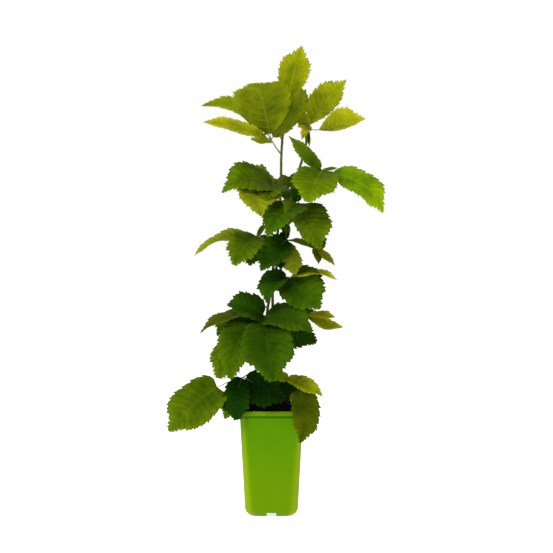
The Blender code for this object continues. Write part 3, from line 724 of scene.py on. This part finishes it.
def rounded_square(half: float, corner: float, steps: int) -> list[Vector]:
    """The points of a square outline with round corners, anticlockwise.

    Args:
        half: Half the square's width.
        corner: The corner's radius.
        steps: Pieces of each corner.

    Returns:
        The outline's points at height 0.
    """
    points = []
    for quarter in range(4):
        centre = Matrix.Rotation(radians(90 * quarter), 3, "Z") @ Vector(
            (half - corner, half - corner, 0)
        )
        for step in range(steps + 1):
            angle = radians(90 * quarter + 90 * step / steps)
            points.append(centre + corner * Vector((cos(angle), sin(angle), 0)))
    return points


def finish_piece(
    bm: bmesh.types.BMesh, name: str, material: bpy.types.Material, nodes: list[str]
) -> bpy.types.Object:
    """Turn a bmesh in millimetres into a piece that rides on the plant.

    Args:
        bm: The mesh, which is used up.
        name: The piece's name.
        material: Its finish.
        nodes: The solids that it stands for.

    Returns:
        The piece.
    """
    bmesh.ops.scale(bm, vec=(MM, MM, MM), verts=bm.verts)
    mesh = bpy.data.meshes.new(name)
    bm.to_mesh(mesh)
    bm.free()
    mesh.shade_smooth()
    mesh.materials.append(material)
    made = bpy.data.objects.new(name, mesh)
    bpy.context.scene.collection.objects.link(made)
    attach(made, "root")
    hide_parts(*nodes)
    LOG.info("%s: %d faces, for %s", name, len(mesh.polygons), ", ".join(nodes))
    return made


@dataclass
class Canes:
    """Both canes, with bark ridges and prickles."""

    level: float = 190.0
    foot_radius: float = 3.6
    low_radius: float = 2.7
    tip_radius: float = 2.0
    flare: float = 0.06
    sides: int = 12
    steps: int = 14
    ridge: float = 0.12
    prickles: int = 130
    prickle_length: float = 1.6
    points: dict[Cane, tuple[Point, ...]] = field(default_factory=lambda: {
        Cane.MAIN: (
            (0, 0, 2 + GAP), (1, 2, 74), (2, 2, 159), (2, 1, 214), (5, -3, 254), (12, -2, 304),
            (16, 1, 369), (17, 4, 426), (20, 3, 464), (26, 0, 489),
        ),
        Cane.SIDE: (
            (-12, 14, 2 + GAP), (-11, 15, 84), (-7, 15, 159), (6, 14, 222), (24, 14, 294),
            (37, 12, 366), (49, 10, 406), (59, 8, 442), (60, 7, 466),
        ),
    })

    def path(self, cane: Cane) -> list[Vector]:
        """A cane's middle line, in the part's frame."""
        lift = Vector((0, 0, self.level))
        return [p + lift for p in smooth_curve([Vector(p) for p in self.points[cane]], self.steps)]

    def radius(self, share: float) -> float:
        """The radius at a share of the length, with a flare at the foot."""
        radius = self.low_radius + (self.tip_radius - self.low_radius) * share
        flare = max(0.0, 1 - share / self.flare)
        return radius + (self.foot_radius - self.low_radius) * flare**2

    def at_height(self, cane: Cane, height: float) -> tuple[Vector, Vector, float]:
        """Where a cane passes a height above the soil.

        Args:
            cane: The cane.
            height: The height above the soil.

        Returns:
            The middle point, the direction and the radius there.
        """
        path = self.path(cane)
        level = self.level + height
        last = len(path) - 1
        for i, (low, high) in enumerate(zip(path, path[1:])):
            if level <= high.z or i == last - 1:
                share = min(1.0, max(0.0, (level - low.z) / (high.z - low.z)))
                return low.lerp(high, share), (high - low).normalized(), self.radius(i / last)
        raise ValueError(height)

    def make(self, material: bpy.types.Material) -> None:
        """Build each cane as its own piece."""
        for cane in Cane:
            path = self.path(cane)
            last = len(path) - 1
            bm = bmesh.new()
            rings = tube(bm, path, [self.radius(i / last) for i in range(last + 1)], self.sides)
            for middle, ring in zip(path, rings):
                for vert in ring:
                    stretched = Vector((vert.co.x * 1.5, vert.co.y * 1.5, vert.co.z * 0.12))
                    vert.co += (vert.co - middle) * self.ridge * noise.noise(stretched)
            self.add_prickles(bm, path, Random(cane.value))
            bmesh.ops.recalc_face_normals(bm, faces=bm.faces)
            finish_piece(bm, f"{cane.value}_bark", material, [cane.value])

    def add_prickles(self, bm: bmesh.types.BMesh, path: list[Vector], rng: Random) -> None:
        """Scatter small prickles that point out and a little down."""
        last = len(path) - 1
        for _ in range(self.prickles):
            i = rng.randrange(2, last - 1)
            along = (path[i + 1] - path[i]).normalized()
            out = Matrix.Rotation(rng.uniform(0, 2 * pi), 3, along) @ along.orthogonal().normalized()
            lean = (out - along * rng.uniform(0.2, 0.6)).normalized()
            length = self.prickle_length * rng.uniform(0.6, 1.2)
            place = path[i] + out * self.radius(i / last) * 0.9 + lean * length / 2
            turn = lean.to_track_quat("Z", "Y").to_matrix().to_4x4()
            bmesh.ops.create_cone(bm, cap_ends=True, segments=4, radius1=0.4, radius2=0.05,
                                  depth=length, matrix=Matrix.Translation(place) @ turn)


@dataclass
class BladeShape:
    """How a leaflet's blade is drawn: its outline, teeth, pleats and thickness."""

    rows_per_vein: int = 9
    columns: int = 7
    tip_nip: float = 0.5
    tip_nip_from: float = 0.74
    heart: float = 0.35
    wedge_base: float = 0.55
    fold: float = 12.0
    droop: float = 0.25
    vein_lead: float = 0.75
    tooth: float = 5.6
    pleat: float = 1.2
    wave: float = 2.6
    thickness: float = 0.45

    def share(self, t: float, base: float, tip: float) -> float:
        """The blade's half width at a share of its length, as a share of its widest."""
        widest = base / (base + tip)
        top = widest**base * (1 - widest) ** tip
        nip = min(1.0, max(0.0, (t - self.tip_nip_from) / (1 - self.tip_nip_from)))
        return t**base * (1 - t) ** tip / top * (1 - self.tip_nip * nip * (2 - nip))


class Blade:
    """A leaflet's surface: places by share along and across."""

    def __init__(self, joint: Vector, leaflet: Leaflet, shape: BladeShape, rng: Random) -> None:
        """Lay the midrib from the joint to the tip."""
        self.leaflet = leaflet
        self.shape = shape
        chord = Vector(leaflet.reach)
        self.length = chord.length
        face = Vector(leaflet.face.value).normalized()
        along = chord / self.length
        self.up = (face - face.dot(along) * along).normalized()
        aside = along.cross(self.up)
        rise = self.up * (leaflet.arch * self.length / 0.75)
        swing = aside * (leaflet.sweep * self.length / 0.75)
        self.start = joint
        self.near = joint + chord * 0.33 + rise * (1 - shape.droop) + swing * (1 + leaflet.bend)
        self.far = joint + chord * 0.70 + rise * (1 + shape.droop) + swing * (1 - leaflet.bend)
        self.tip = joint + chord
        self.stalk = leaflet.stalk / self.length
        self.veins = max(4, min(11, round(self.length / 10)))
        self.phase = rng.uniform(0, 2 * pi)
        self.mood = rng.random()

    def middle(self, t: float) -> Vector:
        """The midrib's point at a share of the whole length, stalk and blade."""
        return bezier(self.start, self.near, self.far, self.tip, t)

    def axes(self, t: float) -> tuple[Vector, Vector, Vector]:
        """The directions along, across and up at a share of the whole length."""
        step = 0.02
        along = (self.middle(min(1, t + step)) - self.middle(max(0, t - step))).normalized()
        across = along.cross(self.up).normalized()
        return along, across, across.cross(along)

    def tooth(self, row: float) -> float:
        """How far the margin stands out at a row: a large tooth on each vein, a small one between."""
        big = (row + 0.15) % 1.0
        small = (row * 2 + 0.3) % 1.0
        vary = 1 + 0.3 * sin(self.phase + 2.4 * int(row + 0.15))
        return self.shape.tooth * vary * (0.6 * big**1.5 + 0.4 * small**1.5 - 0.3)

    def place(self, v: float, s: float) -> Vector:
        """The surface's point.

        Args:
            v: The vein row's share along the midrib, 0 to 1.
            s: The share across, -1 to 1, along the side vein.

        Returns:
            The point.
        """
        shape = self.shape
        off = abs(s)
        lead = shape.vein_lead * v * (1 - v)
        edge = min(1.0, v + lead)
        share = v + (edge - v) * off**1.2
        t = self.stalk + (1 - self.stalk) * share
        along, across, up = self.axes(t)
        leaflet = self.leaflet
        half = max(0.25, leaflet.width / 2 * shape.share(edge, leaflet.base, leaflet.tip))
        size = min(1.0, self.leaflet.width / 55)
        row = v * self.veins
        out = off * half
        if off > 0.99:
            room = min(1.0, half / 6)
            out += self.tooth(row) * size * room
            share_shift = self.tooth(row) * size * room * 0.5
        else:
            share_shift = 0.0
        side = 1.0 if s > 0 else -1.0
        out *= 1 + leaflet.lean * side
        tilt = radians(shape.fold)
        between = abs(sin(pi * row))
        window = min(1.0, off * 4) * (1 - 0.55 * off)
        lift = shape.pleat * size * (between**0.8 - 0.5) * window
        lift += shape.wave * size * off**2 * sin(self.phase + 2 * pi * share * 1.7 + side)
        lift *= min(1.0, 5 * share, 6 * (1 - share))
        place = self.middle(t) + side * out * cos(tilt) * across
        place += (out * sin(tilt) * (1 - 0.25 * off) + lift) * up
        heart = shape.heart if leaflet.base < shape.wedge_base else 0.0
        back = heart * out * off * (1 - share) ** 3
        return place + (share_shift - back) * along

    def build(self, bm: bmesh.types.BMesh, layers: tuple) -> None:
        """Add the blade to a mesh as a thin closed leaf.

        Args:
            bm: The mesh that takes it.
            layers: The mesh's blade, along and tint layers.
        """
        rows = self.veins * self.shape.rows_per_vein
        columns = 2 * self.shape.columns
        made = bmesh.ops.create_grid(bm, x_segments=columns, y_segments=rows, size=1)["verts"]
        blade_layer, along_layer, tint_layer = layers
        tint = self.leaflet.tint.value
        for vert in made:
            s = round(vert.co.x * self.shape.columns) / self.shape.columns
            v = round((vert.co.y + 1) / 2 * rows) / rows
            vert[blade_layer] = Vector((s, v * self.veins, self.mood))
            vert[along_layer] = v
            vert[tint_layer] = tint
            vert.co = self.place(v, s)
        faces = list({face for vert in made for face in vert.link_faces})
        bmesh.ops.solidify(bm, geom=faces, thickness=self.shape.thickness)


@dataclass
class Foliage:
    """All compound leaves: blades joined by spray, and petioles with their leaflet stalks."""

    canes: Canes
    shape: BladeShape = field(default_factory=BladeShape)
    foot: float = 2.5
    rise: float = 0.18
    foot_radius: float = 1.5
    joint_radius: float = 1.0
    stalk_radius: float = 0.9
    sides: int = 8
    steps: int = 14

    def petiole(self, leaf: Leaf) -> list[Vector]:
        """The middle line of a leaf's petiole, from its cane to its joint."""
        middle, along, radius = self.canes.at_height(leaf.cane, leaf.height)
        joint = middle + Vector(leaf.reach)
        if leaf.at_tip:
            foot = middle
            out = along
        else:
            reach = joint - middle
            out = (reach - reach.dot(along) * along).normalized()
            foot = middle + out * (radius * 0.6)
        start = foot + out * (self.foot + radius * 0.4)
        rise = (out * 0.35 + along * self.rise) * (joint - start).length
        near_joint = joint - (joint - start - rise * 0.5) * 0.35
        path = [foot]
        for i in range(self.steps + 1):
            path.append(bezier(start, start + rise, near_joint, joint, i / self.steps))
        return path

    def make(self, blade_finish: bpy.types.Material, bark: bpy.types.Material) -> None:
        """Build the joined blades of each spray, then all petioles."""
        stalks = bmesh.new()
        for spray in Spray:
            bm = bmesh.new()
            layers = (
                bm.verts.layers.float_vector.new("blade"),
                bm.verts.layers.float.new("along"),
                bm.verts.layers.float_color.new("tint"),
            )
            names = []
            for leaf in LEAVES:
                if leaf.spray is not spray:
                    continue
                names.append(leaf.name)
                self.add_leaf(leaf, bm, layers, stalks)
            finish_piece(bm, spray.value, blade_finish, names)
        bmesh.ops.recalc_face_normals(stalks, faces=stalks.faces)
        finish_piece(stalks, "petioles", bark, [leaf.name for leaf in LEAVES])

    def add_leaf(self, leaf: Leaf, bm: bmesh.types.BMesh, layers: tuple, stalks) -> None:
        """Add one leaf's blades to its spray, and its petiole and leaflet stalks to theirs."""
        rng = Random(leaf.name)
        path = self.petiole(leaf)
        last = len(path) - 1
        radii = [self.foot_radius + (self.joint_radius - self.foot_radius) * min(1, 3 * i / last)
                 for i in range(last + 1)]
        tube(stalks, path, radii, self.sides)
        for leaflet in leaf.leaflets:
            tinted = replace(leaflet, tint=leaflet.tint or leaf.tint)
            blade = Blade(path[-1], tinted, self.shape, rng)
            blade.build(bm, layers)
            reach = min(0.9, blade.stalk + 0.45)
            line = [blade.middle(reach * i / 8) - blade.axes(reach * i / 8)[2] * 0.5
                    for i in range(9)]
            tube(stalks, line, [self.stalk_radius * (1 - 0.75 * i / 8) for i in range(9)], 6)


@dataclass
class Pot:
    """The deep square pot: a tapering tub with a rim band and a drain notch in each side."""

    height: float = 180.0
    base_half: float = 44.3
    top_half: float = 53.6
    wall: float = 1.6
    floor: float = 9.0
    corner: float = 15.0
    corner_steps: int = 10
    foot_radius: float = 17.0
    foot_steps: int = 8
    rim_height: float = 8.0
    rim_proud: float = 1.5
    rim_edge: float = 1.0
    groove_height: float = 3.5
    groove_depth: float = 0.8
    notch_width: float = 16.2
    notch_height: float = 7.2
    notch_depth: float = 44.5

    def side_half(self, height: float) -> float:
        """Half the outer width at a height, without the rim."""
        span = self.height - self.rim_height
        return self.base_half + (self.top_half - self.base_half) * height / span

    def foot(self, inset: float, floor: float) -> list[tuple[float, float]]:
        """The rounded lower edge at an inset from the outside.

        Args:
            inset: The distance from the outside.
            floor: The height of its flat bottom.

        Returns:
            Heights and half widths, from the bottom to the side.
        """
        round_off = self.foot_radius - inset
        stations = []
        for i in range(self.foot_steps + 1):
            angle = radians(90 * i / self.foot_steps)
            height = floor + (1 - cos(angle)) * (self.foot_radius + inset - floor)
            half = self.side_half(self.foot_radius + inset) - inset - round_off * (1 - sin(angle))
            stations.append((height, half))
        return stations

    def raise_stations(self, bm: bmesh.types.BMesh, stations: list[tuple[float, float]]) -> None:
        """Extrude a rounded square through stations of height and half width."""
        height, half = stations[0]
        outline = rounded_square(half, self.corner * half / self.top_half, self.corner_steps)
        made = bmesh.ops.create_circle(bm, cap_ends=True, segments=len(outline), radius=half)
        for vert, point in zip(made["verts"], outline):
            vert.co = point + Vector((0, 0, height))
        cap = bm.faces[:]
        for next_height, next_half in stations[1:]:
            moved, cap = extrude_cap(bm, cap)
            spread = next_half / half
            bmesh.ops.scale(bm, vec=(spread, spread, 1), verts=moved)
            bmesh.ops.translate(bm, vec=(0, 0, next_height - height), verts=moved)
            height = next_height
            half = next_half

    def make(self, material: bpy.types.Material) -> None:
        """Build the shell, cut its notches and round its edges."""
        rim_foot = self.height - self.rim_height
        rim_half = self.top_half + self.rim_proud
        outside = self.foot(0, 0)
        groove_foot = rim_foot - self.groove_height
        outside += [
            (groove_foot, self.side_half(groove_foot)),
            (groove_foot + 0.6, self.side_half(groove_foot) - self.groove_depth),
            (rim_foot, self.side_half(rim_foot) - self.groove_depth),
            (rim_foot + 0.01, rim_half - 0.4),
            (rim_foot + 0.5, rim_half),
            (self.height - self.rim_edge, rim_half),
            (self.height - 0.3 * self.rim_edge, rim_half - 0.3 * self.rim_edge),
            (self.height, rim_half - self.rim_edge),
        ]
        inner_top = self.side_half(self.height) - self.wall
        inside = [(self.height, inner_top)] + self.foot(self.wall, self.floor)[::-1]
        bm = bmesh.new()
        self.raise_stations(bm, outside + inside)
        bmesh.ops.recalc_face_normals(bm, faces=bm.faces)
        shell = finish_piece(bm, "pot_shell", material, ["pot"])
        for i in range(4):
            self.cut_notch(shell, i)
        graph = bpy.context.evaluated_depsgraph_get()
        mesh = bpy.data.meshes.new_from_object(shell.evaluated_get(graph))
        shell.modifiers.clear()
        shell.data = mesh
        for cutter in [o for o in bpy.data.objects if o.name.startswith("notch_cutter")]:
            bpy.data.objects.remove(cutter, do_unlink=True)
        mesh.set_sharp_from_angle(angle=radians(32))

    def cut_notch(self, shell: bpy.types.Object, side: int) -> None:
        """Cut the drain notch in one side."""
        bm = bmesh.new()
        bmesh.ops.create_cube(bm, size=1)
        bmesh.ops.scale(bm, vec=(self.notch_width, 2 * self.notch_depth, 2 * self.notch_height),
                        verts=bm.verts)
        bmesh.ops.translate(bm, vec=(0, -self.base_half, 0), verts=bm.verts)
        bmesh.ops.rotate(bm, matrix=Matrix.Rotation(radians(90 * side), 3, "Z"), verts=bm.verts)
        bmesh.ops.scale(bm, vec=(MM, MM, MM), verts=bm.verts)
        mesh = bpy.data.meshes.new("notch_cutter")
        bm.to_mesh(mesh)
        bm.free()
        cutter = bpy.data.objects.new(f"notch_cutter_{side}", mesh)
        bpy.context.scene.collection.objects.link(cutter)
        cut = shell.modifiers.new(f"notch_{side}", "BOOLEAN")
        cut.object = cutter
        cut.operation = "DIFFERENCE"
        cut.solver = "EXACT"


@dataclass
class Soil:
    """The compost: it fills the pot, rises to a low mound and is covered with crumbs."""

    pot: Pot
    wall_level: float = 175.0
    top: float = 192.0
    top_half: float = 27.0
    lump: float = 1.3
    crumbs: int = 900

    def level(self, x: float, y: float) -> float:
        """The mound's height at a place, rough with lumps."""
        wall = self.pot.side_half(self.wall_level) - self.pot.wall - GAP
        off = max(abs(x), abs(y))
        share = min(1.0, max(0.0, (wall - off) / (wall - self.top_half)))
        rise = sin(radians(90 * share))
        rough = noise.fractal(Vector((x, y, 0)) * 0.16, 0.9, 2.0, 3)
        return self.wall_level + (self.top - self.wall_level) * rise + self.lump * (rough - 0.5)

    def make(self, material: bpy.types.Material) -> None:
        """Build the mound on a plain body, with crumbs over it."""
        wall = self.pot.side_half(self.wall_level) - self.pot.wall - GAP
        bm = bmesh.new()
        inset = self.pot.wall + GAP
        stations = self.pot.foot(inset, self.pot.floor + GAP)
        steps = 22
        for i in range(steps + 1):
            half = wall * (1 - i / steps) + 0.6 * i / steps
            stations.append((self.wall_level, half))
        self.pot.raise_stations(bm, stations)
        for vert in bm.verts:
            if vert.co.z > self.wall_level - 0.1:
                vert.co.z = self.level(vert.co.x, vert.co.y)
        rng = Random("soil")
        for _ in range(self.crumbs):
            x, y = rng.uniform(-wall, wall) * 0.97, rng.uniform(-wall, wall) * 0.97
            size = rng.uniform(0.5, 1.0) ** 2 * 2.6
            spin = Matrix.Rotation(rng.uniform(0, pi), 4, Vector((rng.random(), rng.random(), 1)))
            flat = Matrix.Diagonal((size, size * rng.uniform(0.4, 1), size * 0.6, 1))
            place = Matrix.Translation((x, y, self.level(x, y)))
            bmesh.ops.create_icosphere(bm, subdivisions=1, radius=1, matrix=place @ spin @ flat)
        bmesh.ops.recalc_face_normals(bm, faces=bm.faces)
        finish_piece(bm, "compost", material, ["soil"])


@dataclass
class Studio:
    """The pale floor, the soft lights and the camera."""

    eye: Point = (0.0086, -2.4, 0.4071)
    focal_pixels: float = 1395.0
    frame_pixels: float = 553.0
    sensor: float = 36.0
    ambient: float = 0.35
    floor_half: float = 160.0
    floor_glow: float = 0.82

    def make(self) -> None:
        """Build the stage and look through the camera."""
        self.add_floor()
        self.add_light("key", (-1.1, -2.2, 2.3), 1.2, 58.0)
        self.add_light("left", (-1.9, -0.7, 0.9), 1.2, 22.0)
        self.add_light("right", (1.9, -0.7, 0.9), 1.2, 14.0)
        self.add_light("back", (0.3, 1.8, 1.9), 1.6, 18.0)
        self.add_world()
        bpy.context.scene.view_settings.view_transform = "Standard"
        lens = bpy.data.cameras.new("camera")
        lens.sensor_width = self.sensor
        lens.lens = self.focal_pixels * self.sensor / self.frame_pixels
        lens.clip_end = 2 * self.floor_half
        camera = bpy.data.objects.new("camera", lens)
        camera.location = self.eye
        camera.rotation_euler = (radians(90), 0, 0)
        bpy.context.scene.collection.objects.link(camera)
        bpy.context.scene.camera = camera

    def add_world(self) -> None:
        """Add a sky that is seen white and lights the plant more weakly."""
        world = bpy.data.worlds.new("studio")
        world.use_nodes = True
        tree = world.node_tree
        sky = tree.nodes["Background"]
        sky.inputs["Color"].default_value = (1, 1, 1, 1)
        strength = tree.nodes.new("ShaderNodeMapRange")
        seen = tree.nodes.new("ShaderNodeLightPath")
        tree.links.new(seen.outputs["Is Camera Ray"], strength.inputs["Value"])
        strength.inputs["To Min"].default_value = self.ambient
        strength.inputs["To Max"].default_value = 1.0
        tree.links.new(strength.outputs["Result"], sky.inputs["Strength"])
        bpy.context.scene.world = world

    def add_floor(self) -> None:
        """Add the floor plane."""
        bm = bmesh.new()
        bmesh.ops.create_grid(bm, x_segments=1, y_segments=1, size=self.floor_half)
        mesh = bpy.data.meshes.new("floor")
        bm.to_mesh(mesh)
        bm.free()
        surface = Surface("pale_floor")
        white = (0.9, 0.9, 0.9, 1)
        mesh.materials.append(surface.dress(Base_Color=white, Roughness=0.9, Emission_Color=white,
                                            Emission_Strength=self.floor_glow))
        floor = bpy.data.objects.new("floor", mesh)
        bpy.context.scene.collection.objects.link(floor)

    def add_light(self, name: str, place: Point, size: float, power: float) -> None:
        """Add a square soft light that faces the plant.

        Args:
            name: Its name.
            place: Where it hangs, in metres.
            size: Its width, in metres.
            power: Its power, in watts.
        """
        lamp = bpy.data.lights.new(name, "AREA")
        lamp.size = size
        lamp.energy = power
        made = bpy.data.objects.new(name, lamp)
        made.location = place
        aim = Vector((0, 0, 0.4)) - Vector(place)
        made.rotation_euler = aim.to_track_quat("-Z", "Y").to_euler()
        bpy.context.scene.collection.objects.link(made)


def main() -> None:
    """Load the frame and build each part of the plant around it."""
    logging.basicConfig(level=logging.INFO)
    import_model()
    bark = BarkFinish().make()
    canes = Canes()
    canes.make(bark)
    petiole_green = BarkFinish("petiole_skin", (0.12, 0.15, 0.006, 1.0), (0.10, 0.10, 0.008, 1.0),
                               (0.17, 0.18, 0.02, 1.0))
    Foliage(canes).make(BladeFinish().make(), petiole_green.make())
    pot = Pot()
    pot.make(PotFinish().make())
    Soil(pot).make(SoilFinish().make())
    Studio().make()


if __name__ == "__main__":
    main()
